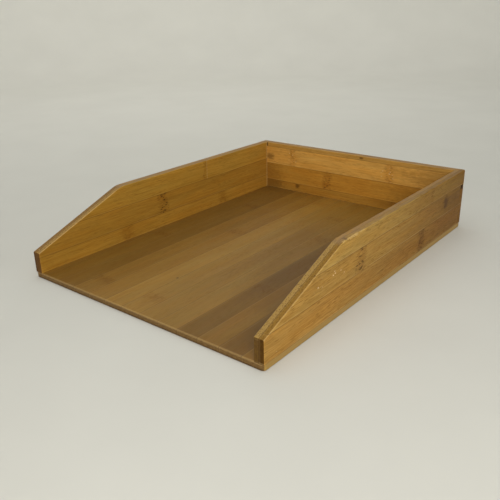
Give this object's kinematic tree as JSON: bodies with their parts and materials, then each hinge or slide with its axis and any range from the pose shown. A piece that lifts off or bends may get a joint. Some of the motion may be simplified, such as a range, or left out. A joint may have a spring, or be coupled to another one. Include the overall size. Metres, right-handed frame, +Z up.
{
  "type": "letter tray",
  "caption": "Open-front bamboo letter tray with sloping side walls, a full-height back wall and a flat base, made of glued bamboo strips.",
  "frame": {"origin": "middle of the underside, on the surface that the tray rests on", "axes": "+X to the tray's right seen from the open front, +Y from the open front to the back wall (the long way), +Z up"},
  "size_m": [0.25, 0.335, 0.06],
  "materials": {
    "base_bamboo": "satin clear varnish, slightly worn",
    "wall_bamboo": "satin clear varnish, slightly worn at the edges",
    "pale_wall_bamboo": "satin clear varnish, slightly worn at the edges"
  },
  "bodies": {
    "root": {"back_wall_inner_strip_1": "wall_bamboo", "back_wall_inner_strip_2": "wall_bamboo", "back_wall_inner_strip_3": "pale_wall_bamboo", "back_wall_inner_strip_4": "wall_bamboo", "back_wall_outer_strip_1": "wall_bamboo", "back_wall_outer_strip_2": "wall_bamboo", "back_wall_outer_strip_3": "wall_bamboo", "base_strip_01": "base_bamboo", "base_strip_02": "base_bamboo", "base_strip_03": "base_bamboo", "base_strip_04": "base_bamboo", "base_strip_05": "base_bamboo", "base_strip_06": "base_bamboo", "base_strip_07": "base_bamboo", "base_strip_08": "base_bamboo", "base_strip_09": "base_bamboo", "base_strip_10": "base_bamboo", "base_strip_11": "base_bamboo", "base_strip_12": "base_bamboo", "base_strip_13": "base_bamboo", "left_wall_inner_strip_1": "wall_bamboo", "left_wall_inner_strip_2": "wall_bamboo", "left_wall_inner_strip_3": "pale_wall_bamboo", "left_wall_outer_strip_1": "wall_bamboo", "left_wall_outer_strip_2": "wall_bamboo", "left_wall_outer_strip_3": "wall_bamboo", "right_wall_inner_strip_1": "wall_bamboo", "right_wall_inner_strip_2": "wall_bamboo", "right_wall_inner_strip_3": "wall_bamboo", "right_wall_outer_strip_1": "wall_bamboo", "right_wall_outer_strip_2": "wall_bamboo", "right_wall_outer_strip_3": "pale_wall_bamboo"}
  },
  "joints": []
}
